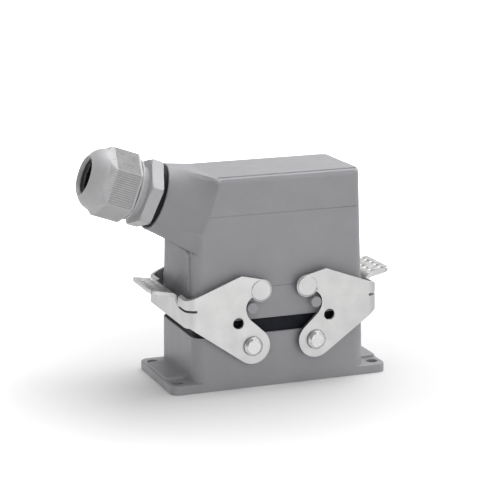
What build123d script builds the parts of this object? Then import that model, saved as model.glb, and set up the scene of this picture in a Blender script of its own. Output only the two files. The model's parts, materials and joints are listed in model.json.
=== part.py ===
from build123d import *
import math
import os

# Heavy duty rectangular connector, closed: bulkhead base below, tall side-entry hood above.
# Millimetres. X runs along the length with the cable gland at -X, Z is up, and the origin is
# the centre of the flange's underside.

# Mounting flange of the base
hole_end_distance = 5.1
hole_pitch_y = 32.0
flange_hole_diameter = 4.5
flange_end_margin = 4.2
flange_width = 43.0
flange_thickness = 3.6
flange_corner_radius = 3.5
flange_edge_radius = 0.5
pad_width = 24.0
pad_height = 1.2
pad_end_setback = 0.6
pad_corner_radius = 1.5

# Walls of the base
base_length = 72.8
base_height = 21.85
base_corner_radius = 5.0
base_draft = 0.6
wall = 3.0
post_bite = 0.3
inner_corner_radius = 2.5

# Seal groove under the flange
groove_width = 1.6
groove_depth = 1.2
groove_wall_margin = 0.7
seal_side_clearance = 0.05

# Profile seal between the halves
seal_band_height = 5.9
seal_setback = 0.8
seal_thickness = 3.4

# Hood: skirt, long drafted body, inclined upper walls and chamfered top
skirt_height = 12.4
skirt_end_inset = 0.2
skirt_side_inset = 0.1
skirt_draft = 0.9
ledge = 0.35
crease_rise = 29.2
crease_draft_x = 0.68
crease_draft_y = 0.85
crease_line_width = 0.3
crease_line_depth = 0.15
shoulder_rise = 12.75
shoulder_draft_x = 0.39
shoulder_draft_y = 0.4
top_rise = 1.6
top_draft_x = 0.1
top_draft_y = 1.0
top_field_height = 0.4
top_field_margin = 2.8
top_field_root = 1.9
skirt_corner_radius = 4.5
body_corner_radius = 4.0
crease_corner_radius = 3.5
shoulder_corner_radius = 3.0
top_corner_radius = 2.0
end_recess_depth = 0.7
end_recess_width = 24.4
end_recess_height = 15.3
end_recess_radius = 4.0

# Neck of the hood and the seat of the gland
gland_tilt = 20.0
seat_overhang = 8.3
seat_drop = 8.6
seat_radius = 13.4
neck_length = 17.0
neck_bottom_offset = -15.6
seat_arc_angles = (-12, 12, 20, 103, 130, 166, 194, 230, 257, 340, 348)
thread_diameter = 20.0
thread_depth = 10.0
thread_clearance = 0.06
neck_core_radius = 12.0

# Lever pivots and pegs
pivot_half_pitch = 13.35
pivot_height = 17.9
peg_above_pivot = 15.3
peg_diameter = 4.4
peg_proud = 0.5
boss_diameter = 9.6
pin_diameter = 7.6
pin_shank_diameter = 4.0
pin_proud = 1.8
pin_bevel_width = 1.2
pin_bevel_height = 0.9
plate_side_clearance = 0.1

# Lever: sheet thickness, then the side plate's outline seen from the front, measured from the
# pivot with u towards the middle of the connector and v up
sheet = 1.5
plate_wall_gap = 2.0
bridge_wall_gap = 2.35
lever_round_radius = 7.2
lever_lower_slope = 35.5
lever_waist_angle = 47.0
bridge_low_v = 9.3
lever_top_u = -4.4
lever_top_v = 28.5
lever_bend_top_v = 20.0
nose_u = 3.6
nose_v = 22.15
nose_radius = 4.5
nose_step = 0.5
nose_shoulder_u = 3.0
nose_low_angle = 228.0
nose_top_angle = 65.0
nose_dome_radius = 4.0
nose_dome_height = 0.35
hook_wall_gap = 0.4
hook_roof_v = 19.6
hook_lip_u = -0.7
finger_hole_u = -5.8
finger_hole_v = 9.6
finger_hole_diameter = 4.2
finger_hole_chamfer = 0.35
pivot_hole_clearance = 0.08
bend_inner_radius = 2.8

# Relief slots round the bends and the grip tab that leans out of the bridge
slot_v = 16.0
slot_width = 0.9
slot_length = 4.2
tab_half_width = 13.1
tab_tip_half_width = 12.4
tab_notch = 0.8
tab_notch_depth = 1.0
tab_lean = 20.0
tab_lean_length = 3.0
tab_bend_radius = 1.6
tab_rise = 11.0
tab_reach = 9.0
tab_corner_radius = 3.0
dimple_pitch = 4.5
dimple_columns = 5
dimple_rows = 2
dimple_edge_margin = 2.6
dimple_diameter = 1.9
dimple_depth = 0.55

# Gland: positions are measured along its axis from the seat
gasket_thickness = 1.8
gasket_radius = 12.7
body_hex_flats = 25.0
body_hex_thickness = 5.0
body_hex_turn = -13.0
body_hex_chamfer = 0.7
undercut_radius = 9.9
undercut_length = 2.7
collar_radius = 12.1
collar_thickness = 0.9
gland_thread_clearance = 0.1
clamp_thread_radius = 10.6
clamp_thread_length = 9.0
finger_root_radius = 10.1
finger_tip_radius = 9.5
finger_length = 7.0
finger_slit = 0.9
finger_slit_count = 6
gland_bore_radius = 7.6
seal_pocket_radius = 8.8
seal_pocket_back = 8.5
nut_flats = 24.2
nut_gap = 0.5
nut_hex_length = 11.5
nut_back_chamfer = 0.9
nut_dome_radius = 12.4
nut_dome_start = 13.2
nut_dome_middle = (10.9, 16.6)
nut_nose_radius = 8.6
nut_nose_end = 18.5
nut_lip_radius = 7.9
nut_lip_width = 0.3
nut_opening_radius = 7.0
nut_opening_depth = 1.3
nut_length = 19.1
nut_thread_clearance = 0.3
nut_cone_clearance = 0.35
nut_cone_rise = 1.9
rib_groove_count = 16
rib_groove_pitch = 0.86
rib_groove_depth = 0.36
rib_front_margin = 0.9
rib_back_margin = 0.9
seal_sleeve_radius = 8.75
cable_radius = 6.2
seal_sleeve_length = 17.6

# Inserts: ten contacts in two rows, held by four captive screws
insert_end_clearance = 1.4
insert_side_clearance = 1.5
insert_flange_thickness = 3.0
insert_corner_radius = 2.0
insert_screw_margin = 3.5
block_post_clearance = 0.7
block_side_step = 1.5
terminal_block_height = 11.4
block_corner_radius = 1.2
female_flange_height = 13.0
female_block_end_step = 1.5
female_block_width = 20.0
mated_gap = 0.6
shroud_clearance = 0.5
shroud_wall = 2.5
shroud_foot_gap = 5.0
male_flange_height = 45.0
male_floor_thickness = 3.0
hood_post_height = 8.0
base_post_height = 9.0
post_size_x = 8.6
post_size_y = 8.6

# Contacts and their clamp screws
contact_end_margin = 5.5
contact_row_half_gap = 5.5
contact_columns = 5
contact_pin_diameter = 2.5
contact_pin_length = 15.0
contact_tip_chamfer = 0.6
socket_slack = 0.05
socket_depth = 16.0
socket_top_margin = 1.0
contact_entry_diameter = 3.2
contact_shank_diameter = 4.0
contact_hole_clearance = 0.1
clamp_size = 5.2
clamp_height = 9.0
wire_hole_diameter = 3.0
wire_hole_depth = 6.5
terminal_screw_diameter = 2.8
terminal_screw_length = 3.4
terminal_screw_tip = 0.7
screw_clearance = 0.05
screwdriver_hole_diameter = 4.2
screw_slot_width = 0.7
screw_slot_depth = 0.8

# Captive screws and grounding plates of the inserts
insert_screw_diameter = 2.9
insert_screw_hole_clearance = 0.15
insert_screw_length = 9.0
insert_screw_head_diameter = 5.4
insert_screw_head_height = 2.0
ground_width = 9.0
ground_thickness = 1.2
ground_end_inset = 0.4
ground_shroud_gap = 1.6
ground_contact_gap = 0.1
ground_upright_length = 7.0
ground_foot_gap = 2.8

# Values that follow from the sizes above
hole_pitch_x = base_length + 2 * hole_end_distance
flange_length = hole_pitch_x + 2 * flange_end_margin
inner_length = base_length - 2 * wall
inner_width = flange_width - 2 * wall
skirt_length = base_length - 2 * skirt_end_inset
skirt_width = flange_width - 2 * skirt_side_inset
hood_bottom = base_height + seal_band_height
ledge_height = hood_bottom + skirt_height
crease_height = ledge_height + crease_rise
shoulder_height = crease_height + shoulder_rise
top_margin_height = shoulder_height + top_rise
hood_top = top_margin_height + top_field_height
seat_x = -base_length / 2 - seat_overhang
seat_height = hood_top - seat_drop
peg_height = pivot_height + peg_above_pivot
plate_inner = flange_width / 2 + plate_wall_gap
lever_half_width = plate_inner + sheet
bridge_u = pivot_half_pitch - base_length / 2 - bridge_wall_gap - sheet
slot_end_u = bridge_u + slot_length
hex_front = gasket_thickness + body_hex_thickness
collar_back = hex_front + undercut_length
collar_front = collar_back + collar_thickness
nut_back = collar_front + nut_gap
clamp_thread_front = collar_front + clamp_thread_length
fingers_front = clamp_thread_front + finger_length
male_flange_top = male_flange_height + insert_flange_thickness
male_floor = male_flange_height - male_floor_thickness
insert_length = inner_length - 2 * insert_end_clearance
insert_width = inner_width - 2 * insert_side_clearance
insert_screw_pitch_x = insert_length - 2 * insert_screw_margin
insert_screw_pitch_y = insert_width - 2 * insert_screw_margin
terminal_block_length = insert_screw_pitch_x - post_size_x - 2 * block_post_clearance
terminal_block_width = insert_width - 2 * block_side_step
female_block_length = terminal_block_length - 2 * female_block_end_step
contact_pitch_x = (terminal_block_length - 2 * contact_end_margin) / (contact_columns - 1)
female_flange_top = female_flange_height + insert_flange_thickness
shroud_foot = female_flange_top + shroud_foot_gap
ground_outer_x = insert_length / 2 - ground_end_inset
ground_upright_x = female_block_length / 2 + shroud_clearance + shroud_wall + ground_shroud_gap
female_block_top = male_floor - mated_gap
socket_top = female_block_top - socket_top_margin
gland_frame = Location((seat_x, 0, seat_height), (0, gland_tilt - 90, 0))
contact_hole_radius = contact_shank_diameter / 2 + contact_hole_clearance
corner_signs = [(sx, sy) for sx in (-1, 1) for sy in (-1, 1)]
contact_places = [
    ((column - (contact_columns - 1) / 2) * contact_pitch_x, row * contact_row_half_gap)
    for row in (-1, 1)
    for column in range(contact_columns)
]


def block(low, high):
    """A box between two corners."""
    size = [abs(high[i] - low[i]) for i in range(3)]
    middle = [(high[i] + low[i]) / 2 for i in range(3)]
    return Pos(*middle) * Box(*size)


def rod(radius, z0, z1, x=0.0, y=0.0):
    """An upright cylinder between two heights."""
    return Pos(x, y, (z0 + z1) / 2) * Cylinder(radius, abs(z1 - z0))


def rod_y(radius, x, z, y0, y1):
    """A cylinder along Y between two places."""
    return Pos(x, (y0 + y1) / 2, z) * Rot(90, 0, 0) * Cylinder(radius, abs(y1 - y0))


def rounded(length, width, radius, z):
    """A rounded rectangle lying at one height."""
    return Pos(0, 0, z) * RectangleRounded(length, width, radius)


def rounded_block(length, width, radius, z0, z1):
    """A block with rounded upright corners."""
    return extrude(rounded(length, width, radius, z0), amount=z1 - z0)


def polar(radius, degrees):
    """A point in a plane by radius and angle."""
    angle = math.radians(degrees)
    return (radius * math.cos(angle), radius * math.sin(angle))


def revolved(points):
    """A ring turned about local Z from (radius, place) points."""
    outline = make_face(Plane.XZ * Polyline(*points, close=True))
    return revolve(outline, Axis.Z)


def base_housing():
    """The lower casting: flange, walls, pads, pivot bosses, insert posts and seal groove."""
    shell = rounded_block(flange_length, flange_width, flange_corner_radius, 0, flange_thickness)
    shell = fillet(shell.faces().sort_by(Axis.Z)[-1].edges(), flange_edge_radius)
    pad_length = flange_length - 2 * pad_end_setback
    pad = rounded_block(pad_length, pad_width, pad_corner_radius, 0, flange_thickness + pad_height)
    shell += fillet(pad.faces().sort_by(Axis.Z)[-1].edges(), flange_edge_radius)
    shell += loft([
        rounded(base_length, flange_width, base_corner_radius, 0),
        rounded(base_length - base_draft, flange_width - base_draft / 2, base_corner_radius, base_height),
    ], ruled=True)
    boss_face = plate_inner - plate_side_clearance
    for side in (-1, 1):
        for place in (-pivot_half_pitch, pivot_half_pitch):
            shell += rod_y(boss_diameter / 2, place, pivot_height, 0, side * boss_face)
    shell -= block((-base_length, -flange_width, base_height), (base_length, flange_width, hood_bottom))
    shell -= rounded_block(inner_length, inner_width, inner_corner_radius, -1, base_height + 1)
    post_foot = female_flange_height - base_post_height
    for sx, sy in corner_signs:
        screw_spot = (sx * insert_screw_pitch_x / 2, sy * insert_screw_pitch_y / 2)
        shell += insert_post(sx, sy, post_foot, female_flange_height)
        shell -= rod(insert_screw_diameter / 2 + screw_clearance, post_foot - 1,
                     female_flange_height + 1, *screw_spot)
        shell -= rod(flange_hole_diameter / 2, -1, flange_thickness + pad_height + 1,
                     sx * hole_pitch_x / 2, sy * hole_pitch_y / 2)
        shell -= rod_y(pin_shank_diameter / 2, sx * pivot_half_pitch, pivot_height,
                       sy * (inner_width / 2 - 1), sy * lever_half_width)
    return shell - panel_ring(0, groove_depth, 0)


def panel_ring(z0, z1, clearance):
    """The ring round the panel cut-out: the groove under the flange, or its seal."""
    low = 2 * (groove_wall_margin + clearance)
    high = 2 * (groove_wall_margin + groove_width - clearance)
    outer = rounded_block(inner_length + high, inner_width + high, inner_corner_radius + high / 2,
                          z0, z1)
    inner = rounded_block(inner_length + low, inner_width + low, inner_corner_radius + low / 2,
                          z0 - 1, z1 + 1)
    return outer - inner


def insert_post(sx, sy, z0, z1):
    """A corner post inside a housing, under one screw of an insert."""
    near_x = sx * (insert_screw_pitch_x - post_size_x) / 2
    near_y = sy * (insert_screw_pitch_y - post_size_y) / 2
    far_x = sx * (inner_length / 2 + post_bite)
    far_y = sy * (inner_width / 2 + post_bite)
    return block((near_x, near_y, z0), (far_x, far_y, z1))


def pivot_pin(side):
    """A stepped pin: the shank sits in the wall, the wide end carries the lever."""
    foot = inner_width / 2
    step = plate_inner - plate_side_clearance
    tip = lever_half_width + pin_proud
    wide = pin_diameter / 2
    pin = revolved([
        (0, foot), (pin_shank_diameter / 2, foot), (pin_shank_diameter / 2, step), (wide, step),
        (wide, tip - pin_bevel_height), (wide - pin_bevel_width, tip), (0, tip),
    ])
    return Pos(0, 0, pivot_height) * Rot(-90 * side, 0, 0) * pin


def hood_outer():
    """The hood's outside without its neck, as drafted steps from the skirt to the top."""
    skirt_top_length = skirt_length - skirt_draft / 2
    skirt_top_width = skirt_width - skirt_draft / 2
    skirt = loft([
        rounded(skirt_length, skirt_width, skirt_corner_radius, hood_bottom),
        rounded(skirt_top_length, skirt_top_width, skirt_corner_radius, ledge_height),
    ], ruled=True)
    length = skirt_top_length - 2 * ledge
    width = skirt_top_width - 2 * ledge
    crease_length = length - 2 * crease_draft_x
    crease_width = width - 2 * crease_draft_y
    shoulder_length = crease_length - 2 * shoulder_draft_x
    shoulder_width = crease_width - 2 * shoulder_draft_y
    top_length = shoulder_length - 2 * top_draft_x
    top_width = shoulder_width - 2 * top_draft_y
    body = loft([
        rounded(length, width, body_corner_radius, ledge_height),
        rounded(crease_length, crease_width, crease_corner_radius, crease_height),
        rounded(shoulder_length, shoulder_width, shoulder_corner_radius, shoulder_height),
        rounded(top_length, top_width, top_corner_radius, top_margin_height),
    ], ruled=True)
    return skirt + body - end_recess(length / 2 - end_recess_depth)


def end_recess(depth_x):
    """The shallow panel sunk in the end wall under the neck."""
    tall = RectangleRounded(end_recess_width, end_recess_height, end_recess_radius)
    square = Rectangle(end_recess_width, end_recess_height / 2)
    outline = Pos(0, end_recess_height / 2) * tall + Pos(0, end_recess_height / 4) * square
    return extrude(Plane.YZ.offset(-depth_x) * Pos(0, ledge_height) * outline, amount=-2 * end_recess_depth)


def seat_circle():
    """The round end of the neck, in arcs that meet the corners of its root."""
    arcs = []
    for start, end in zip(seat_arc_angles, seat_arc_angles[1:]):
        spots = [polar(seat_radius, angle) for angle in (start, (start + end) / 2, end)]
        arcs.append(ThreePointArc(*spots))
    return gland_frame * make_face(arcs)


def hood_with_neck():
    """The hood cut square to the gland's axis, and the neck lofted from that cut to the seat."""
    reach = hood_top
    neck_space = block((neck_bottom_offset, -reach, -neck_length), (reach, reach, reach))
    body = hood_outer() - gland_frame * neck_space
    axis = Plane(gland_frame).z_dir
    roots = body.faces().filter_by(lambda face: (face.normal_at() - axis).length < 0.001)
    body += loft([roots.sort_by(SortBy.AREA)[-1], seat_circle()], ruled=True)
    return body + top_field() - crease_line()


def top_field():
    """The slightly raised field along the hood's top, from the neck to the far end."""
    end = (skirt_length / 2 - skirt_draft / 4 - ledge
           - crease_draft_x - shoulder_draft_x - top_draft_x)
    width = skirt_width - skirt_draft / 2 - 2 * (
        ledge + crease_draft_y + shoulder_draft_y + top_draft_y + top_field_margin)
    tilt = math.radians(gland_tilt)
    neck_root_x = seat_x + (neck_length + (top_margin_height - seat_height) * math.sin(tilt)) / math.cos(tilt)
    return block((neck_root_x - top_field_root, -width / 2, top_margin_height - wall / 2),
                 (end, width / 2, hood_top))


def crease_line():
    """The fine groove round the hood at the height where its draft changes."""
    end = skirt_length / 2 - skirt_draft / 4 - ledge - crease_draft_x
    half_width = skirt_width / 2 - skirt_draft / 4 - ledge - crease_draft_y
    low = crease_height - crease_line_width / 2
    slab = block((-end, -flange_width, low), (2 * end, flange_width, low + crease_line_width))
    core = rounded_block(4 * end, 2 * (half_width - crease_line_depth), crease_corner_radius,
                         low - 1, low + crease_line_width + 1)
    return slab - Pos(-end - crease_line_depth, 0, 0) * core


def hood_cavity():
    """The core that hollows the hood, open at the bottom."""
    crease_inner_x = inner_length - 2 * crease_draft_x
    crease_inner_y = inner_width - 2 * crease_draft_y
    main = loft([
        rounded(inner_length, inner_width, inner_corner_radius, hood_bottom - 1),
        rounded(crease_inner_x, crease_inner_y, inner_corner_radius, crease_height - wall),
        rounded(crease_inner_x - 2 * shoulder_draft_x, crease_inner_y - 2 * shoulder_draft_y,
                inner_corner_radius, hood_top - wall),
    ], ruled=True)
    core_end = neck_length + wall
    reach = hood_top
    main -= gland_frame * block((neck_bottom_offset - wall, -reach, -core_end), (reach, reach, reach))
    core = Pos(0, 0, -(thread_depth + core_end) / 2) * Cone(
        neck_core_radius, thread_diameter / 2, core_end - thread_depth)
    return main + gland_frame * (rod(thread_diameter / 2, -thread_depth, 1) + core)


def hood_housing():
    """The upper casting, with four pegs for the levers and posts for the insert."""
    shell = hood_with_neck()
    peg_end = lever_half_width + peg_proud
    for sx, sy in corner_signs:
        shell += rod_y(peg_diameter / 2, sx * pivot_half_pitch, peg_height,
                       sy * inner_width / 2, sy * peg_end)
    shell -= hood_cavity()
    for sx, sy in corner_signs:
        screw_spot = (sx * insert_screw_pitch_x / 2, sy * insert_screw_pitch_y / 2)
        shell += insert_post(sx, sy, male_flange_top, male_flange_top + hood_post_height)
        shell -= rod(insert_screw_diameter / 2 + screw_clearance, male_flange_top - 1,
                     male_flange_top + hood_post_height + 1, *screw_spot)
    return shell


def profile_seal():
    """The rubber ring that the hood presses on the rim of the base."""
    length = skirt_length - 2 * seal_setback
    width = skirt_width - 2 * seal_setback
    outer = rounded_block(length, width, skirt_corner_radius, base_height, hood_bottom)
    inner = rounded_block(length - 2 * seal_thickness, width - 2 * seal_thickness, inner_corner_radius,
                          base_height - 1, hood_bottom + 1)
    return outer - inner


def lever_outline():
    """One side plate of a lever as a closed line in (u, v) about its pivot."""
    slope = math.radians(lever_lower_slope)
    lower = polar(lever_round_radius, 270 - lever_lower_slope)
    bottom = polar(lever_round_radius, 330)
    waist = polar(lever_round_radius, lever_waist_angle)
    lip = Vector(hook_lip_u, waist[1] + (waist[0] - hook_lip_u) / math.tan(math.radians(lever_waist_angle)))
    knee_v = bridge_low_v
    knee_u = lower[0] - (knee_v - lower[1]) / math.tan(slope)
    wall_spot = (-peg_diameter / 2 - hook_wall_gap, peg_above_pivot)
    roof = (0, hook_roof_v)
    nose = Vector(nose_u, nose_v)
    nose_low = nose + Vector(*polar(nose_radius, nose_low_angle))
    nose_side = nose + Vector(nose_radius, 0)
    nose_top = nose + Vector(*polar(nose_radius, nose_top_angle))
    nose_shoulder = (nose_shoulder_u, nose_top.Y + nose_step)
    return [
        Line((bridge_u, knee_v), (knee_u, knee_v)),
        Line((knee_u, knee_v), lower),
        ThreePointArc(lower, bottom, waist),
        Line(waist, lip),
        TangentArc(wall_spot, lip, tangent=(0, -1)),
        TangentArc(wall_spot, roof, tangent=(0, 1)),
        Line(roof, nose_low),
        ThreePointArc(nose_low, nose_side, nose_top),
        Line(nose_top, nose_shoulder),
        Line(nose_shoulder, (lever_top_u, lever_top_v)),
        Line((lever_top_u, lever_top_v), (bridge_u, lever_bend_top_v)),
        Line((bridge_u, lever_bend_top_v), (bridge_u, knee_v)),
    ]


def tab_profile():
    """The grip tab's side view: it leans out of the bridge, bends and rises to its tip."""
    turn = 90 - tab_lean - tab_rise
    lean = polar(1, 90 + tab_lean)
    across = polar(sheet, tab_lean)
    rise = polar(tab_reach, 180 - tab_rise)
    sides = []
    for start, radius in (((bridge_u, slot_v), tab_bend_radius),
                          ((bridge_u + across[0], slot_v + across[1]), tab_bend_radius + sheet)):
        foot = Line(start, (start[0] + tab_lean_length * lean[0], start[1] + tab_lean_length * lean[1]))
        bend = JernArc(foot @ 1, lean, radius, turn)
        sides.append([foot, bend, Line(bend @ 1, bend @ 1 + Vector(*rise))])
    under, top = sides
    root = (bridge_u + sheet, slot_v)
    closing = [Line(under[2] @ 1, top[2] @ 1), Line(top[0] @ 0, root), Line(root, under[0] @ 0)]
    return under + top + closing, top[2] @ 1


def grip_tab():
    """The tab across the bridge, with rounded tip corners and rows of dimples."""
    outline, tip = tab_profile()
    tab = extrude(make_face([Plane.XZ * edge for edge in outline]), amount=lever_half_width, both=True)
    plan = make_face(Polyline(
        (bridge_u + 2 * sheet, -tab_half_width), (bridge_u + 2 * sheet, tab_half_width),
        (tip.X, tab_tip_half_width), (tip.X, -tab_tip_half_width), close=True))
    plan = fillet(plan.vertices().sort_by(Axis.X)[:2], tab_corner_radius)
    tab &= extrude(plan, amount=2 * lever_top_v, both=True)
    face = Location((tip.X, 0, tip.Y), (0, tab_rise, 0))
    for row in range(dimple_rows):
        for column in range(dimple_columns):
            across = (column - (dimple_columns - 1) / 2) * dimple_pitch
            spot = Pos(dimple_edge_margin + row * dimple_pitch, across, 0)
            tab -= face * spot * Cone(dimple_diameter / 4, dimple_diameter / 2, 2 * dimple_depth)
    return tab


def lever():
    """The left locking lever about its pivot, as one bent sheet with two hooks."""
    length = -2 * bridge_u
    width = 2 * lever_half_width
    section = RectangleRounded(length, width, bend_inner_radius + sheet)
    section -= RectangleRounded(length - 2 * sheet, width - 2 * sheet, bend_inner_radius)
    side_view = make_face([Plane.XZ * edge for edge in lever_outline()])
    shape = extrude(side_view, amount=lever_half_width, both=True)
    shape &= extrude(section, amount=2 * lever_top_v, both=True)
    low = slot_v - slot_width / 2
    for side in (-1, 1):
        shape -= block((2 * bridge_u, side * (tab_half_width + tab_notch), low),
                       (slot_end_u, side * 2 * lever_half_width, low + slot_width))
        shape += Pos(nose_u, side * lever_half_width, nose_v) * Rot(-90 * side, 0, 0) * nose_dome()
        shape -= block((2 * bridge_u, side * tab_half_width, lever_bend_top_v - tab_notch_depth),
                       (bridge_u + 2 * sheet, side * (tab_half_width + tab_notch), lever_top_v))
    shape -= block((2 * bridge_u, -tab_half_width, slot_v),
                   (bridge_u + 2 * sheet, tab_half_width, lever_top_v))
    shape += grip_tab()
    shape -= rod_y(pin_diameter / 2 + pivot_hole_clearance, 0, 0, -width, width)
    shape -= rod_y(finger_hole_diameter / 2, finger_hole_u, finger_hole_v, -width, width)
    rims = shape.edges().filter_by(GeomType.CIRCLE).filter_by(
        lambda edge: abs(edge.radius - finger_hole_diameter / 2) < plate_side_clearance
        and abs(abs(edge.center().Y) - lever_half_width) < plate_side_clearance)
    return chamfer(rims, finger_hole_chamfer)


def nose_dome():
    """The coined round pad on the nose of a hook."""
    pad = Cylinder(nose_dome_radius, 2 * nose_dome_height)
    return fillet(pad.edges().sort_by(Axis.Z)[-1], nose_dome_height * 0.9)


def gland_gasket():
    """The black ring between the neck and the gland's hexagon."""
    inner = thread_diameter / 2 + gland_thread_clearance
    return gland_frame * revolved([
        (inner, 0), (gasket_radius, 0), (gasket_radius, gasket_thickness), (inner, gasket_thickness)])


def hexagon(flats, turn):
    """A hexagon by its width across flats, one corner turned from local X."""
    return Rot(0, 0, turn) * RegularPolygon(flats / 2, 6, major_radius=False)


def gland_body():
    """The threaded body: shank in the neck, hexagon, undercut, collar, thread and slit fingers."""
    corner = body_hex_flats / math.sqrt(3)
    prism = Pos(0, 0, gasket_thickness) * extrude(
        hexagon(body_hex_flats, body_hex_turn), amount=body_hex_thickness)
    prism &= revolved([
        (0, gasket_thickness), (corner - body_hex_chamfer, gasket_thickness),
        (corner, gasket_thickness + body_hex_chamfer), (corner, hex_front - body_hex_chamfer),
        (corner - 2 * body_hex_chamfer, hex_front), (0, hex_front)])
    shank = thread_diameter / 2 - thread_clearance
    tube = revolved([
        (0, 1 - thread_depth), (shank, 1 - thread_depth), (shank, gasket_thickness + 1),
        (undercut_radius, gasket_thickness + 1), (undercut_radius, collar_back),
        (collar_radius, collar_back), (collar_radius, collar_front),
        (clamp_thread_radius, collar_front), (clamp_thread_radius, clamp_thread_front),
        (finger_root_radius, clamp_thread_front), (finger_tip_radius, fingers_front), (0, fingers_front)])
    body = prism + tube
    body -= rod(gland_bore_radius, -2 * thread_depth, 2 * fingers_front)
    body -= rod(seal_pocket_radius, seal_pocket_back, 2 * fingers_front)
    for number in range(finger_slit_count):
        slit = block((-gasket_radius, -finger_slit / 2, clamp_thread_front),
                     (gasket_radius, finger_slit / 2, 2 * fingers_front))
        body -= Rot(0, 0, number * 180 / finger_slit_count) * slit
    return gland_frame * body


def gland_seal():
    """The rubber sleeve that the nut squeezes on the cable."""
    front = seal_pocket_back + seal_sleeve_length
    return gland_frame * revolved([
        (cable_radius, seal_pocket_back), (seal_sleeve_radius, seal_pocket_back),
        (seal_sleeve_radius, front), (cable_radius, front)])


def gland_nut():
    """The domed nut: chamfered hexagon with fine ribs on its faces, round nose and conical inside."""
    corner = nut_flats / math.sqrt(3) + 0.1
    hex_end = (corner, nut_hex_length)
    dome_start = (nut_dome_radius, nut_dome_start)
    nose = (nut_nose_radius, nut_nose_end)
    lip = (nut_lip_radius, nut_length)
    points = [lip, (0, nut_length), (0, 0), (corner - nut_back_chamfer, 0), (corner, nut_back_chamfer / 2),
              hex_end, dome_start]
    lines = [Line(a, b) for a, b in zip(points, points[1:])]
    lines += [ThreePointArc(dome_start, nut_dome_middle, nose), Line(nose, lip)]
    dome = revolve(make_face([Plane.XZ * line for line in lines]), Axis.Z)
    nut = dome & extrude(hexagon(nut_flats, 0), amount=nut_length)
    thread = clamp_thread_radius + nut_thread_clearance
    tip = fingers_front - nut_back
    nut -= revolved([
        (0, -1), (thread, -1), (thread, clamp_thread_length),
        (finger_root_radius + nut_cone_clearance, clamp_thread_length),
        (finger_tip_radius + nut_cone_clearance, tip + nut_cone_clearance),
        (nut_opening_radius, tip + nut_cone_rise), (nut_opening_radius, nut_length - nut_opening_depth),
        (nut_lip_radius - nut_lip_width, nut_length), (0, nut_length)])
    side = rib_groove_depth * math.sqrt(2)
    length = nut_hex_length - rib_front_margin - rib_back_margin
    groove = Rot(0, 0, 45) * Box(side, side, length)
    cutters = []
    for face in range(6):
        for number in range(rib_groove_count):
            shift = (number - (rib_groove_count - 1) / 2) * rib_groove_pitch
            place = Pos(nut_flats / 2, shift, rib_back_margin + length / 2)
            cutters.append(Rot(0, 0, 30 + 60 * face) * place * groove)
    return gland_frame * Pos(0, 0, nut_back) * (nut - cutters)


def female_insert():
    """The socket insert: terminal block below, screw flange, mating block above."""
    shape = rounded_block(insert_length, insert_width, insert_corner_radius,
                          female_flange_height, female_flange_top)
    foot = female_flange_height - terminal_block_height
    shape += rounded_block(terminal_block_length, terminal_block_width, block_corner_radius,
                           foot, female_flange_height)
    shape += rounded_block(female_block_length, female_block_width, block_corner_radius,
                           female_flange_top, female_block_top)
    shape -= insert_screw_holes(female_flange_height)
    for x, y in contact_places:
        shape -= contact_pocket(x, y, foot - 1, female_flange_height)
        shape -= rod(contact_hole_radius, female_flange_height - 1, socket_top, x, y)
        shape -= rod(contact_entry_diameter / 2, socket_top - 1, female_block_top + 1, x, y)
        shape -= screw_access(x, y, female_flange_height - clamp_height / 2)
    return shape


def male_insert():
    """The pin insert: shroud below, screw flange, terminal block above."""
    inner_x = female_block_length + 2 * shroud_clearance
    inner_y = female_block_width + 2 * shroud_clearance
    shape = rounded_block(insert_length, insert_width, insert_corner_radius,
                          male_flange_height, male_flange_top)
    top = male_flange_top + terminal_block_height
    shape += rounded_block(terminal_block_length, terminal_block_width, block_corner_radius,
                           male_flange_top, top)
    shape += rounded_block(inner_x + 2 * shroud_wall, inner_y + 2 * shroud_wall, insert_corner_radius,
                           shroud_foot, male_flange_height)
    shape -= rounded_block(inner_x, inner_y, block_corner_radius, shroud_foot - 1, male_floor)
    shape -= insert_screw_holes(male_flange_height)
    for x, y in contact_places:
        shape -= contact_pocket(x, y, male_flange_top, top + 1)
        shape -= rod(contact_hole_radius, male_floor - 1, male_flange_top + 1, x, y)
        shape -= screw_access(x, y, male_flange_top + clamp_height / 2)
    return shape


def insert_screw_holes(flange_low):
    """The four holes in an insert's flange."""
    radius = insert_screw_diameter / 2 + insert_screw_hole_clearance
    high = flange_low + insert_flange_thickness + 1
    return [rod(radius, flange_low - 1, high, sx * insert_screw_pitch_x / 2, sy * insert_screw_pitch_y / 2)
            for sx, sy in corner_signs]


def contact_pocket(x, y, z0, z1):
    """The square pocket round one contact's clamp."""
    half = clamp_size / 2 + contact_hole_clearance
    return block((x - half, y - half, z0), (x + half, y + half, z1))


def screw_access(x, y, z):
    """The screwdriver's way in from the side of a terminal block."""
    outward = 1 if y > 0 else -1
    return rod_y(screwdriver_hole_diameter / 2, x, z, y, outward * terminal_block_width)


def clamp_block(x, y, z0, z1, wire_side):
    """One contact's clamp with its wire hole and the hole for its screw."""
    half = clamp_size / 2
    outward = 1 if y > 0 else -1
    mouth = z1 if wire_side > 0 else z0
    clamp = block((x - half, y - half, z0), (x + half, y + half, z1))
    clamp -= rod(wire_hole_diameter / 2, mouth - wire_side * wire_hole_depth, mouth + wire_side, x, y)
    screw_hole_radius = terminal_screw_diameter / 2 + screw_clearance
    return clamp - rod_y(screw_hole_radius, x, (z0 + z1) / 2, y, y + outward * clamp_size)


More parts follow.
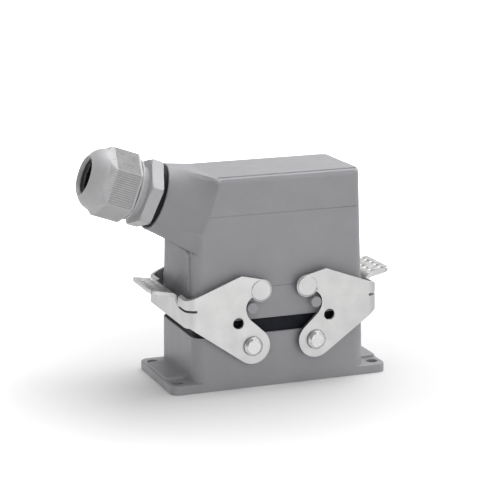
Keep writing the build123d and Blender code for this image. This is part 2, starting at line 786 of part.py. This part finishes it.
def pin_contact(x, y):
    """A pin with its shank through the insert and its wire clamp above."""
    wide = contact_pin_diameter / 2
    tip = male_floor - contact_pin_length
    pin = revolved([
        (0, tip), (wide - contact_tip_chamfer, tip), (wide, tip + contact_tip_chamfer), (wide, male_floor),
        (contact_shank_diameter / 2, male_floor), (contact_shank_diameter / 2, male_flange_top),
        (0, male_flange_top)])
    return Pos(x, y, 0) * pin + clamp_block(x, y, male_flange_top, male_flange_top + clamp_height, 1)


def socket_contact(x, y):
    """A socket with its wire clamp below."""
    shank = rod(contact_shank_diameter / 2, female_flange_height, socket_top, x, y)
    shape = shank + clamp_block(x, y, female_flange_height - clamp_height, female_flange_height, -1)
    bore_radius = contact_pin_diameter / 2 + socket_slack
    return shape - rod(bore_radius, socket_top - socket_depth, socket_top + 1, x, y)


def terminal_screws(z):
    """The ten slotted screws that press the wires in their clamps."""
    screws = []
    for x, y in contact_places:
        outward = 1 if y > 0 else -1
        tip = y + outward * terminal_screw_tip
        head = tip + outward * terminal_screw_length
        screw = rod_y(terminal_screw_diameter / 2, x, z, tip, head)
        slot = block((x - clamp_size, head - outward * screw_slot_depth, z - screw_slot_width / 2),
                     (x + clamp_size, head + outward, z + screw_slot_width / 2))
        screws.append(screw - slot)
    return Compound(children=screws)


def insert_screws(face, direction):
    """The four captive screws, heads on the insert's flange and shanks in the housing's posts."""
    screws = []
    for sx, sy in corner_signs:
        x = sx * insert_screw_pitch_x / 2
        y = sy * insert_screw_pitch_y / 2
        head_end = face + direction * insert_screw_head_height
        screw = rod(insert_screw_diameter / 2, face - direction * insert_screw_length, face, x, y)
        screw += rod(insert_screw_head_diameter / 2, face, head_end, x, y)
        half = screw_slot_width / 2
        screws.append(screw - block((x - clamp_size, y - half, head_end - direction * screw_slot_depth),
                                    (x + clamp_size, y + half, head_end + direction)))
    return Compound(children=screws)


def female_ground(side):
    """The bent plate on the end of the socket insert."""
    low = female_flange_top
    inner = side * ground_upright_x
    outer = side * (ground_upright_x + ground_thickness)
    plate = block((inner, -ground_width / 2, low),
                  (side * ground_outer_x, ground_width / 2, low + ground_thickness))
    return plate + block((inner, -ground_width / 2, low),
                         (outer, ground_width / 2, low + ground_upright_length))


def male_ground(side):
    """The blade on the end of the pin insert, beside the other plate's upright."""
    high = male_flange_height
    inner = side * (ground_upright_x + ground_thickness + ground_contact_gap)
    outer = side * (ground_upright_x + 2 * ground_thickness + ground_contact_gap)
    foot = female_flange_top + ground_thickness + ground_foot_gap
    plate = block((inner, -ground_width / 2, high - ground_thickness),
                  (side * ground_outer_x, ground_width / 2, high))
    return plate + block((inner, -ground_width / 2, foot), (outer, ground_width / 2, high))


def all_pieces():
    """Every piece by its node name."""
    left_lever = Pos(-pivot_half_pitch, 0, pivot_height) * lever()
    pieces = {
        "base_housing": base_housing(),
        "panel_seal": panel_ring(0, groove_depth, seal_side_clearance),
        "profile_seal": profile_seal(),
        "hood_housing": hood_housing(),
        "lever_left": left_lever,
        "lever_right": mirror(left_lever, about=Plane.YZ),
        "gland_gasket": gland_gasket(),
        "gland_body": gland_body(),
        "gland_seal": gland_seal(),
        "gland_nut": gland_nut(),
        "female_insert": female_insert(),
        "male_insert": male_insert(),
        "socket_terminal_screws": terminal_screws(female_flange_height - clamp_height / 2),
        "pin_terminal_screws": terminal_screws(male_flange_top + clamp_height / 2),
        "female_insert_screws": insert_screws(female_flange_top, 1),
        "male_insert_screws": insert_screws(male_flange_height, -1),
    }
    for end, sx in (("left", -1), ("right", 1)):
        pieces[f"female_ground_{end}"] = female_ground(sx)
        pieces[f"male_ground_{end}"] = male_ground(sx)
        for row, sy in (("front", -1), ("back", 1)):
            pieces[f"pivot_pin_{row}_{end}"] = Pos(sx * pivot_half_pitch, 0, 0) * pivot_pin(sy)
    for number, (x, y) in enumerate(contact_places, start=1):
        pieces[f"pin_contact_{number}"] = pin_contact(x, y)
        pieces[f"socket_contact_{number}"] = socket_contact(x, y)
    return pieces


os.makedirs("parts", exist_ok=True)
for name, piece in all_pieces().items():
    export_step(piece, f"parts/{name}.step")
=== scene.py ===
import json
import math

import bmesh
import bpy
from mathutils import Matrix, Vector


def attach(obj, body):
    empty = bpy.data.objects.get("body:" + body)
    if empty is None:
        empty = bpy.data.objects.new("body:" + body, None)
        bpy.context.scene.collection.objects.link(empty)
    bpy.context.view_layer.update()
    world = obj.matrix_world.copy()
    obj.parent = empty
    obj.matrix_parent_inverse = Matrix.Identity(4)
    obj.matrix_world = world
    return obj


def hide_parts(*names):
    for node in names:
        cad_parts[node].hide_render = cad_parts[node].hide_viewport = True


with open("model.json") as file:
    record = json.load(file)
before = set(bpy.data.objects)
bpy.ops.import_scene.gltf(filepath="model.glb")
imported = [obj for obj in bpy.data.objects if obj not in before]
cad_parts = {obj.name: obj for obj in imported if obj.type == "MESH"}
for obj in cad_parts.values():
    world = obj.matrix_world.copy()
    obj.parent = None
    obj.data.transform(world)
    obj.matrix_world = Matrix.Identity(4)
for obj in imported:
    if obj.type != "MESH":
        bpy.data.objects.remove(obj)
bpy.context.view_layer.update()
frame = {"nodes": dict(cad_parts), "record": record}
nodes = frame["nodes"]

# The photograph's viewpoint: a long lens a little above the hood, turned towards the gland's
# end. Its place was measured from the housing's edges, in metres and degrees.
camera_place = (-0.26329, -0.69078, 0.22240)
camera_turn, camera_tilt, camera_roll = -20.506, 76.869, -0.373
camera_lens, sensor_width = 136.12, 36.0
camera = bpy.data.objects.new("camera", bpy.data.cameras.new("camera"))
camera.data.sensor_width = sensor_width
camera.data.lens = camera_lens
camera.location = camera_place
turn = Matrix.Rotation(math.radians(camera_turn), 3, "Z")
tilt = Matrix.Rotation(math.radians(camera_tilt), 3, "X")
roll = Matrix.Rotation(math.radians(camera_roll), 3, "Z")
camera.rotation_euler = (turn @ tilt @ roll).to_euler()
bpy.context.scene.collection.objects.link(camera)
bpy.context.scene.camera = camera
bpy.context.scene.view_settings.view_transform = "Standard"

# The studio: a white room seen by the camera, a softbox above and behind the table, and a weak
# one in front. The metal sees the room as white too, but for two dim patches, above the camera
# and low behind the object.
room_light = 0.41
dim_patches = (
    ((-0.4, -0.72, 0.5), 0.62, 0.9, 0.3),
    ((0.3, 0.92, 0.2), 0.5, 0.92, 0.6),
)
softboxes = (
    ("overhead_softbox", (0.4, 0.24, 0.88), 1.1, 10.2),
    ("front_softbox", (0.1, -1.1, 0.3), 0.8, 2.4),
)
lamp_aim = Vector((0.0, 0.0, 0.04))

world = bpy.data.worlds.new("studio")
world.use_nodes = True
bpy.context.scene.world = world
room = world.node_tree
surroundings = room.nodes["Background"]
surroundings.inputs["Color"].default_value = (1.0, 1.0, 1.0, 1.0)
direction = room.nodes.new("ShaderNodeTexCoord")
white_part = room.nodes.new("ShaderNodeMath")
white_part.operation = "MULTIPLY"
for number, (patch_direction, patch_edge, patch_core, patch_level) in enumerate(dim_patches):
    towards_patch = room.nodes.new("ShaderNodeVectorMath")
    towards_patch.operation = "DOT_PRODUCT"
    towards_patch.inputs[1].default_value = Vector(patch_direction).normalized()
    room.links.new(direction.outputs["Generated"], towards_patch.inputs[0])
    patch = room.nodes.new("ShaderNodeMapRange")
    patch.interpolation_type = "SMOOTHSTEP"
    patch.inputs["From Min"].default_value = patch_edge
    patch.inputs["From Max"].default_value = patch_core
    patch.inputs["To Min"].default_value = 1.0
    patch.inputs["To Max"].default_value = patch_level
    room.links.new(towards_patch.outputs["Value"], patch.inputs["Value"])
    room.links.new(patch.outputs["Result"], white_part.inputs[number])
ray = room.nodes.new("ShaderNodeLightPath")
mirrored = room.nodes.new("ShaderNodeMath")
mirrored.operation = "MAXIMUM"
room.links.new(ray.outputs["Is Glossy Ray"], mirrored.inputs[0])
room.links.new(ray.outputs["Is Transmission Ray"], mirrored.inputs[1])
for_metal = room.nodes.new("ShaderNodeMix")
for_metal.inputs["A"].default_value = room_light
room.links.new(mirrored.outputs[0], for_metal.inputs["Factor"])
room.links.new(white_part.outputs[0], for_metal.inputs["B"])
for_camera = room.nodes.new("ShaderNodeMix")
for_camera.inputs["B"].default_value = 1.0
room.links.new(ray.outputs["Is Camera Ray"], for_camera.inputs["Factor"])
room.links.new(for_metal.outputs["Result"], for_camera.inputs["A"])
room.links.new(for_camera.outputs["Result"], surroundings.inputs["Strength"])

for lamp_name, lamp_place, lamp_size, lamp_power in softboxes:
    lamp = bpy.data.objects.new(lamp_name, bpy.data.lights.new(lamp_name, "AREA"))
    lamp.data.shape = "SQUARE"
    lamp.data.size = lamp_size
    lamp.data.energy = lamp_power
    lamp.location = lamp_place
    lamp.rotation_euler = (lamp_aim - lamp.location).to_track_quat("-Z", "Y").to_euler()
    bpy.context.scene.collection.objects.link(lamp)

# The table: a sheet of matt white paper. It keeps the object's shadow close by, and further
# out the camera sees it as plain white. The metal sees it white in front and dim behind.
paper_half_size = 3.0
paper_white = (0.75, 0.75, 0.75, 1.0)
paper_roughness, paper_mirror = 0.9, 0.2
paper_glow_start, paper_glow_end = 0.05, 0.24
paper_glow_least, paper_glow_most = 0.12, 1.0
sweep_direction = Vector((0.75, 0.66, 0.0)).normalized()
sweep_start, sweep_end = -0.12, 0.1
sweep_white, sweep_dim = 0.6, 0.1

table_mesh = bmesh.new()
bmesh.ops.create_grid(table_mesh, x_segments=1, y_segments=1, size=paper_half_size)
table_data = bpy.data.meshes.new("table_paper")
table_mesh.to_mesh(table_data)
table_mesh.free()
table = bpy.data.objects.new("table_paper", table_data)
bpy.context.scene.collection.objects.link(table)

paper = bpy.data.materials.new("table_paper")
paper.use_nodes = True
paper_nodes = paper.node_tree.nodes
paper_links = paper.node_tree.links
paper_shader = paper_nodes["Principled BSDF"]
paper_shader.inputs["Base Color"].default_value = paper_white
paper_shader.inputs["Roughness"].default_value = paper_roughness
paper_shader.inputs["Specular IOR Level"].default_value = paper_mirror
paper_shader.inputs["Emission Color"].default_value = (1.0, 1.0, 1.0, 1.0)
paper_place = paper_nodes.new("ShaderNodeTexCoord")
from_middle = paper_nodes.new("ShaderNodeVectorMath")
from_middle.operation = "LENGTH"
paper_links.new(paper_place.outputs["Object"], from_middle.inputs[0])
fade = paper_nodes.new("ShaderNodeMapRange")
fade.interpolation_type = "SMOOTHSTEP"
fade.inputs["From Min"].default_value = paper_glow_start
fade.inputs["From Max"].default_value = paper_glow_end
fade.inputs["To Min"].default_value = paper_glow_least
fade.inputs["To Max"].default_value = paper_glow_most
paper_links.new(from_middle.outputs["Value"], fade.inputs["Value"])
along_sweep = paper_nodes.new("ShaderNodeVectorMath")
along_sweep.operation = "DOT_PRODUCT"
along_sweep.inputs[1].default_value = sweep_direction
paper_links.new(paper_place.outputs["Object"], along_sweep.inputs[0])
sweep = paper_nodes.new("ShaderNodeMapRange")
sweep.interpolation_type = "SMOOTHSTEP"
sweep.inputs["From Min"].default_value = sweep_start
sweep.inputs["From Max"].default_value = sweep_end
sweep.inputs["To Min"].default_value = sweep_white
sweep.inputs["To Max"].default_value = sweep_dim
paper_links.new(along_sweep.outputs["Value"], sweep.inputs["Value"])
paper_ray = paper_nodes.new("ShaderNodeLightPath")
camera_glow = paper_nodes.new("ShaderNodeMath")
camera_glow.operation = "MULTIPLY"
paper_links.new(paper_ray.outputs["Is Camera Ray"], camera_glow.inputs[0])
paper_links.new(fade.outputs["Result"], camera_glow.inputs[1])
glow = paper_nodes.new("ShaderNodeMath")
glow.operation = "MULTIPLY_ADD"
paper_links.new(paper_ray.outputs["Is Glossy Ray"], glow.inputs[0])
paper_links.new(sweep.outputs["Result"], glow.inputs[1])
paper_links.new(camera_glow.outputs[0], glow.inputs[2])
paper_links.new(glow.outputs[0], paper_shader.inputs["Emission Strength"])
table.data.materials.append(paper)


# Base housing: aluminium, pressure die-cast and coated with grey powder paint, which rounds
# every edge a little. Four screws through its flange hold it on a panel.
record = frame["record"]
body_of = {
    node: body for body, members in record["behaviour"]["bodies"].items() for node in members
}
same_point, tiny_edge = 2e-6, 4e-5
flat_angle = math.radians(0.6)
round_steps = 2
room_for_round = 2.2
fold_attempts = 4
fold_angle, fold_area = math.radians(150.0), 1e-9
fold_reach = 2.5


def merged_skin(node_name):
    """A node's loose triangles as one closed skin, with its flat faces whole."""
    skin = bmesh.new()
    skin.from_mesh(nodes[node_name].data)
    verts, edges = skin.verts, skin.edges
    bmesh.ops.remove_doubles(skin, verts=verts[:], dist=same_point)
    bmesh.ops.dissolve_limit(skin, angle_limit=flat_angle, verts=verts[:], edges=edges[:])
    bmesh.ops.dissolve_degenerate(skin, dist=tiny_edge, edges=edges[:])
    return skin


def has_room(edge, edge_round):
    """Whether both faces beside an edge are wide enough for its rounding."""
    narrowest = room_for_round * edge_round * edge.calc_length()
    return all(face.calc_area() > narrowest for face in edge.link_faces)


def is_near(edge, point, reach):
    """Whether a point lies nearer to an edge than the reach."""
    start, end = (vertex.co for vertex in edge.verts)
    run = end - start
    along = run.dot(point - start) / max(run.length_squared, tiny_edge ** 2)
    return (start.lerp(end, min(max(along, 0.0), 1.0)) - point).length < reach


def folds_of(skin):
    """The middles of the edges at which a face lies folded back on its neighbour."""
    return [
        (edge.verts[0].co + edge.verts[1].co) / 2 for edge in skin.edges
        if edge.calc_face_angle(0.0) > fold_angle
        and min(face.calc_area() for face in edge.link_faces) > fold_area
    ]


def finished(node_name, material, edge_round, edge_angle=30.0, smooth_angle=32.0, tight=False):
    """The node's shape with its edges broken, in the place of the node. An edge stays sharp
    where its rounding would fold over a face beside it."""
    folds = []
    for _ in range(fold_attempts):
        skin = merged_skin(node_name)
        edges = [
            edge for edge in skin.edges
            if edge.calc_face_angle(0.0) > math.radians(edge_angle) and has_room(edge, edge_round)
            and not any(is_near(edge, fold, fold_reach * edge_round) for fold in folds)
        ]
        bmesh.ops.bevel(skin, geom=edges, offset=edge_round, offset_type="OFFSET",
                        affect="EDGES", segments=round_steps, profile=0.5, material=-1,
                        clamp_overlap=tight)
        bmesh.ops.triangulate(skin, faces=skin.faces[:])
        new_folds = folds_of(skin)
        if not new_folds:
            break
        folds += new_folds
    data = bpy.data.meshes.new(node_name + "_finished")
    skin.to_mesh(data)
    skin.free()
    data.shade_smooth()
    data.set_sharp_from_angle(angle=math.radians(smooth_angle))
    piece = bpy.data.objects.new(node_name + "_finished", data)
    bpy.context.scene.collection.objects.link(piece)
    data.materials.append(material)
    even = piece.modifiers.new("even_shading", "WEIGHTED_NORMAL")
    even.keep_sharp = True
    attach(piece, body_of[node_name])
    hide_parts(node_name)
    return piece


def surface(name, colour, roughness, metallic=0.0, mirror=0.5):
    """A material with its plain colour and gloss, ready for its grain."""
    made = bpy.data.materials.new(name)
    made.use_nodes = True
    shader = made.node_tree.nodes["Principled BSDF"]
    shader.inputs["Base Color"].default_value = (*colour, 1.0)
    shader.inputs["Roughness"].default_value = roughness
    shader.inputs["Metallic"].default_value = metallic
    shader.inputs["Specular IOR Level"].default_value = mirror
    return made


def cloud(made, grain_size, stretch=(1.0, 1.0, 1.0), detail=3.0, roughness=0.55):
    """Noise through the object's own space, with grains of the given size in metres. Most
    of its values lie between cloud_low and cloud_high."""
    tree = made.node_tree
    place = tree.nodes.new("ShaderNodeTexCoord")
    fit = tree.nodes.new("ShaderNodeMapping")
    fit.inputs["Scale"].default_value = stretch
    noise = tree.nodes.new("ShaderNodeTexNoise")
    noise.inputs["Scale"].default_value = 1.0 / grain_size
    noise.inputs["Detail"].default_value = detail
    noise.inputs["Roughness"].default_value = roughness
    tree.links.new(place.outputs["Object"], fit.inputs["Vector"])
    tree.links.new(fit.outputs["Vector"], noise.inputs["Vector"])
    return noise.outputs["Fac"]


cloud_low, cloud_high = 0.3, 0.7


def tint(made, pattern, dark, light):
    """Varies the colour between two shades by a pattern."""
    tree = made.node_tree
    ramp = tree.nodes.new("ShaderNodeValToRGB")
    ramp.color_ramp.elements[0].position = cloud_low
    ramp.color_ramp.elements[0].color = (*dark, 1.0)
    ramp.color_ramp.elements[1].position = cloud_high
    ramp.color_ramp.elements[1].color = (*light, 1.0)
    tree.links.new(pattern, ramp.inputs["Fac"])
    tree.links.new(ramp.outputs["Color"], tree.nodes["Principled BSDF"].inputs["Base Color"])


def gloss(made, pattern, smooth, rough):
    """Varies the roughness between two values by a pattern."""
    tree = made.node_tree
    span = tree.nodes.new("ShaderNodeMapRange")
    span.inputs["From Min"].default_value = cloud_low
    span.inputs["From Max"].default_value = cloud_high
    span.inputs["To Min"].default_value = smooth
    span.inputs["To Max"].default_value = rough
    tree.links.new(pattern, span.inputs["Value"])
    tree.links.new(span.outputs["Result"], tree.nodes["Principled BSDF"].inputs["Roughness"])


def relief(made, *patterns):
    """Raises each pattern by its depth in metres, one on top of the other."""
    tree = made.node_tree
    below = None
    for pattern, depth in patterns:
        bump = tree.nodes.new("ShaderNodeBump")
        bump.inputs["Strength"].default_value = 1.0
        bump.inputs["Distance"].default_value = depth
        tree.links.new(pattern, bump.inputs["Height"])
        if below:
            tree.links.new(below, bump.inputs["Normal"])
        below = bump.outputs["Normal"]
    tree.links.new(below, tree.nodes["Principled BSDF"].inputs["Normal"])


housing_paint = surface("housing_paint", colour=(0.335, 0.33, 0.35), roughness=0.42)
tint(housing_paint, cloud(housing_paint, grain_size=0.012, detail=6.0),
     dark=(0.318, 0.314, 0.332), light=(0.35, 0.346, 0.366))
gloss(housing_paint, cloud(housing_paint, grain_size=0.004), smooth=0.38, rough=0.5)
relief(housing_paint, (cloud(housing_paint, grain_size=0.0011, detail=1.0), 0.00003),
       (cloud(housing_paint, grain_size=0.00025, detail=1.0), 0.000006))
housing_edge_round = 0.0003
finished("base_housing", housing_paint, housing_edge_round)

# Panel seal: a flat ring of black nitrile rubber, cut from sheet and pressed into the groove
# under the flange, where it closes the gap to the panel.
rubber_edge_round = 0.0002
seal_rubber = surface("seal_rubber", colour=(0.009, 0.01, 0.015), roughness=0.6, mirror=0.15)
tint(seal_rubber, cloud(seal_rubber, grain_size=0.003, detail=5.0),
     dark=(0.006, 0.007, 0.011), light=(0.013, 0.015, 0.021))
gloss(seal_rubber, cloud(seal_rubber, grain_size=0.0015), smooth=0.5, rough=0.7)
relief(seal_rubber, (cloud(seal_rubber, grain_size=0.0005), 0.00001))
finished("panel_seal", seal_rubber, rubber_edge_round)

# Socket insert: glass-filled plastic, moulded as one block with ten contact chambers, and
# held in the base by four captive screws through its corners.
insert_edge_round = 0.0002
insert_plastic = surface("insert_plastic", colour=(0.42, 0.41, 0.35), roughness=0.5)
tint(insert_plastic, cloud(insert_plastic, grain_size=0.0015, detail=6.0),
     dark=(0.38, 0.37, 0.315), light=(0.45, 0.44, 0.38))
gloss(insert_plastic, cloud(insert_plastic, grain_size=0.002), smooth=0.42, rough=0.58)
relief(insert_plastic, (cloud(insert_plastic, grain_size=0.0004), 0.000008))
finished("female_insert", insert_plastic, insert_edge_round, edge_angle=60.0)

# Contacts and grounding plates: brass turned or stamped, then silver plated. Each contact
# ends in a square clamp whose screw grips the wire.
contact_edge_round = 0.00012
contact_metal = surface("contact_metal", colour=(0.78, 0.74, 0.65), roughness=0.28, metallic=1.0)
tint(contact_metal, cloud(contact_metal, grain_size=0.002, detail=5.0),
     dark=(0.66, 0.61, 0.5), light=(0.83, 0.8, 0.72))
gloss(contact_metal, cloud(contact_metal, grain_size=0.001), smooth=0.2, rough=0.38)
relief(contact_metal, (cloud(contact_metal, grain_size=0.0004, stretch=(0.3, 0.3, 3.0)), 0.000004))
contact_names = ("socket_contact", "pin_contact", "female_ground", "male_ground")
for name in [name for name in nodes if name.startswith(contact_names)]:
    finished(name, contact_metal, contact_edge_round, edge_angle=60.0)

# Screws of the contacts and inserts: zinc-plated steel with a straight slot, turned home
# when the connector is wired.
screw_edge_round = 0.00012
screw_steel = surface("screw_steel", colour=(0.62, 0.62, 0.61), roughness=0.32, metallic=1.0)
tint(screw_steel, cloud(screw_steel, grain_size=0.002, detail=4.0),
     dark=(0.52, 0.53, 0.54), light=(0.68, 0.67, 0.63))
gloss(screw_steel, cloud(screw_steel, grain_size=0.0008), smooth=0.24, rough=0.42)
relief(screw_steel, (cloud(screw_steel, grain_size=0.0005), 0.000006))
screw_nodes = (
    "socket_terminal_screws", "pin_terminal_screws", "female_insert_screws", "male_insert_screws",
)
for name in screw_nodes:
    finished(name, screw_steel, screw_edge_round, edge_angle=60.0)

# Profile seal: a moulded rubber frame round the base's mouth. The hood presses it into the
# dark band that shows between the two halves.
finished("profile_seal", seal_rubber, rubber_edge_round)

# Hood: the same cast and painted aluminium, tall and slightly drafted, with a neck for the
# gland at one end and four pegs that the levers pull on.
finished("hood_housing", housing_paint, housing_edge_round, edge_angle=16.0, smooth_angle=24.0)

# End pad: a flat field that is cast in one with the hood's end wall, under the neck, and
# painted with it. It stands a little proud, and its two upper corners are rounded.
pad_half_width = 0.0147
pad_low, pad_high = 0.0284, 0.0554
pad_corner = 0.003
pad_face_low, pad_face_high = -0.03636, -0.0361
pad_back = -0.0345
pad_corner_steps = 8
pad_rim_depth = 0.0005
pad_rim_round = 0.0006
pad_rim_steps = 3
pad_smooth_angle = 40.0

end_pad = bmesh.new()
pad_size = Vector((pad_back - pad_face_low, 2 * pad_half_width, pad_high - pad_low))
pad_middle = Vector(((pad_face_low + pad_back) / 2, 0.0, (pad_low + pad_high) / 2))
bmesh.ops.create_cube(end_pad, size=1.0)
bmesh.ops.scale(end_pad, vec=pad_size, verts=end_pad.verts[:])
bmesh.ops.translate(end_pad, vec=pad_middle, verts=end_pad.verts[:])
upper_corners = [
    edge for edge in end_pad.edges
    if min(vertex.co.z for vertex in edge.verts) > pad_middle.z
    and edge.verts[0].co.y * edge.verts[1].co.y > 0.0
]
bmesh.ops.bevel(end_pad, geom=upper_corners, offset=pad_corner, offset_type="OFFSET",
                affect="EDGES", segments=pad_corner_steps, profile=0.5, material=-1,
                clamp_overlap=True)
pad_lean = (pad_face_high - pad_face_low) / (pad_high - pad_low)
for vertex in end_pad.verts:
    if vertex.co.x < pad_middle.x:
        vertex.co.x += pad_lean * (vertex.co.z - pad_low)
pad_rim = [
    edge for edge in end_pad.edges
    if max(vertex.co.x for vertex in edge.verts) < pad_back - pad_rim_depth
]
bmesh.ops.bevel(end_pad, geom=pad_rim, offset=pad_rim_round, offset_type="OFFSET",
                affect="EDGES", segments=pad_rim_steps, profile=0.5, material=-1,
                clamp_overlap=True)
pad_data = bpy.data.meshes.new("hood_end_pad")
end_pad.to_mesh(pad_data)
end_pad.free()
pad_data.shade_smooth()
pad_data.set_sharp_from_angle(angle=math.radians(pad_smooth_angle))
pad_data.materials.append(housing_paint)

# Painted highlight: the rim that looks up gets a paler paint, for the light that falls on it.
rim_upward = 0.3
rim_painted_highlight = surface("rim_painted_highlight", colour=(0.5, 0.5, 0.52), roughness=0.36)
tint(rim_painted_highlight, cloud(rim_painted_highlight, grain_size=0.0015, detail=5.0),
     dark=(0.42, 0.42, 0.44), light=(0.6, 0.6, 0.62))
relief(rim_painted_highlight, (cloud(rim_painted_highlight, grain_size=0.0011, detail=1.0), 0.00002))
pad_data.materials.append(rim_painted_highlight)
# Faces that look up take the painted highlight.
for face in pad_data.polygons:
    if face.normal.z > rim_upward:
        face.material_index = 1
hood_end_pad = bpy.data.objects.new("hood_end_pad", pad_data)
bpy.context.scene.collection.objects.link(hood_end_pad)
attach(hood_end_pad, body_of["hood_housing"])

# Pin insert: the counterpart of the socket insert, screwed to the posts inside the hood.
# Its shroud slides over the socket insert when the hood is closed.
finished("male_insert", insert_plastic, insert_edge_round, edge_angle=60.0)

# Gland gasket and sleeve: soft black rubber. The ring seals the gland against the neck, and
# the sleeve inside is squeezed on the cable.
gland_rubber = surface("gland_rubber", colour=(0.006, 0.006, 0.006), roughness=0.6, mirror=0.15)
tint(gland_rubber, cloud(gland_rubber, grain_size=0.002, detail=4.0),
     dark=(0.004, 0.004, 0.005), light=(0.01, 0.01, 0.011))
gloss(gland_rubber, cloud(gland_rubber, grain_size=0.001), smooth=0.5, rough=0.7)
relief(gland_rubber, (cloud(gland_rubber, grain_size=0.0005), 0.00001))
finished("gland_gasket", gland_rubber, rubber_edge_round)
finished("gland_seal", gland_rubber, rubber_edge_round)

# Gland body and nut: light grey polyamide, injection moulded. The body screws into the neck
# by its hexagon, and the domed nut with its gripping ribs screws over the body.
gland_edge_round = 0.0003
gland_plastic = surface("gland_plastic", colour=(0.52, 0.52, 0.53), roughness=0.42)
tint(gland_plastic, cloud(gland_plastic, grain_size=0.006, detail=5.0),
     dark=(0.495, 0.495, 0.505), light=(0.545, 0.545, 0.555))
gloss(gland_plastic, cloud(gland_plastic, grain_size=0.002), smooth=0.36, rough=0.5)
relief(gland_plastic, (cloud(gland_plastic, grain_size=0.0008, detail=1.0), 0.000012))
finished("gland_body", gland_plastic, gland_edge_round, edge_angle=40.0)
nut = finished("gland_nut", gland_plastic, gland_edge_round, edge_angle=180.0, smooth_angle=25.0)

# Painted shade: one wall of each groove between the ribs gets a darker plastic, for the shade
# in the groove. That wall stands at 45 degrees to its own flat, and so at 15 degrees to the flat
# before it.
groove_painted_shade = surface("groove_painted_shade", colour=(0.34, 0.34, 0.345), roughness=0.6)
tint(groove_painted_shade, cloud(groove_painted_shade, grain_size=0.003, detail=5.0),
     dark=(0.28, 0.28, 0.285), light=(0.4, 0.4, 0.405))
relief(groove_painted_shade, (cloud(groove_painted_shade, grain_size=0.0008, detail=1.0), 0.00001))
nut.data.materials.append(groove_painted_shade)
nut_turn = next(joint for joint in record["behaviour"]["joints"] if joint["name"] == "nut_turn")
nut_axis, nut_middle = Vector(nut_turn["axis"]), Vector(nut_turn["pos_m"])
nut_up = Vector((0.0, 1.0, 0.0)).cross(nut_axis)
first_flat, flat_step = 30.0, 60.0
least_lean, most_lean = 10.0, 20.0
rib_foot_radius = 0.0115
rib_straight = 0.1
# The faces that get the painted groove shade.
for face in nut.data.polygons:
    turned = math.degrees(math.atan2(face.normal.y, face.normal.dot(nut_up)))
    lean = (turned - first_flat) % flat_step
    from_axis = (face.center - nut_middle).cross(nut_axis).length
    along_rib = abs(face.normal.dot(nut_axis)) < rib_straight
    if along_rib and from_axis > rib_foot_radius and least_lean < lean < most_lean:
        face.material_index = 1

# Pivot pins: turned steel rivets with a conical rim, pressed into the bosses of the base.
# Each carries one corner of a lever.
pin_edge_round = 0.00012
pin_steel = surface("pin_steel", colour=(0.58, 0.58, 0.58), roughness=0.3, metallic=1.0)
tint(pin_steel, cloud(pin_steel, grain_size=0.0015, detail=4.0),
     dark=(0.53, 0.53, 0.53), light=(0.61, 0.61, 0.61))
gloss(pin_steel, cloud(pin_steel, grain_size=0.0008), smooth=0.26, rough=0.38)
relief(pin_steel, (cloud(pin_steel, grain_size=0.0008), 0.000002))
for name in [name for name in nodes if name.startswith("pivot_pin")]:
    finished(name, pin_steel, pin_edge_round)

# Locking levers: each a single U punched and bent from bright plated steel sheet, with two
# hooks that snap over the hood's pegs and a dimpled tab for the thumb.
lever_edge_round = 0.00025
lever_steel = surface("lever_steel", colour=(0.53, 0.53, 0.525), roughness=0.4, metallic=1.0)
tint(lever_steel, cloud(lever_steel, grain_size=0.006, detail=7.0, roughness=0.65),
     dark=(0.47, 0.47, 0.47), light=(0.57, 0.57, 0.565))
gloss(lever_steel, cloud(lever_steel, grain_size=0.003, detail=5.0), smooth=0.34, rough=0.5)
relief(lever_steel, (cloud(lever_steel, grain_size=0.0012, detail=4.0), 0.00001))

# Their punched edges are where the plating is thin: duller, and torn by the die. The walls
# of the dimples get the same darker steel as painted shade.
sheared_steel_and_dimple_shade = surface("sheared_steel_and_dimple_shade", colour=(0.3, 0.3, 0.295), roughness=0.5, metallic=1.0)
tint(sheared_steel_and_dimple_shade, cloud(sheared_steel_and_dimple_shade, grain_size=0.0012, detail=6.0, roughness=0.7),
     dark=(0.12, 0.12, 0.12), light=(0.5, 0.5, 0.495))
gloss(sheared_steel_and_dimple_shade, cloud(sheared_steel_and_dimple_shade, grain_size=0.0008), smooth=0.4, rough=0.62)
relief(sheared_steel_and_dimple_shade, (cloud(sheared_steel_and_dimple_shade, grain_size=0.0006, detail=4.0), 0.00004))
plate_inside, plate_end = 0.0205, 0.031
cut_lean, slant_limit = 0.3, 0.8
dimple_face = 4e-7
for name in ("lever_left", "lever_right"):
    lever = finished(name, lever_steel, lever_edge_round, edge_angle=55.0, tight=True)
    lever.data.materials.append(sheared_steel_and_dimple_shade)
    for face in lever.data.polygons:
        on_plate = abs(face.center.y) > plate_inside
        on_cut = abs(face.center.x) < plate_end and abs(face.normal.y) < cut_lean
        slanted = max(abs(part) for part in face.normal) < slant_limit
        # The dimple walls take the darker steel as painted shade.
        on_dimple = slanted and face.area < dimple_face
        if (on_plate and on_cut) or (not on_plate and on_dimple):
            face.material_index = 1
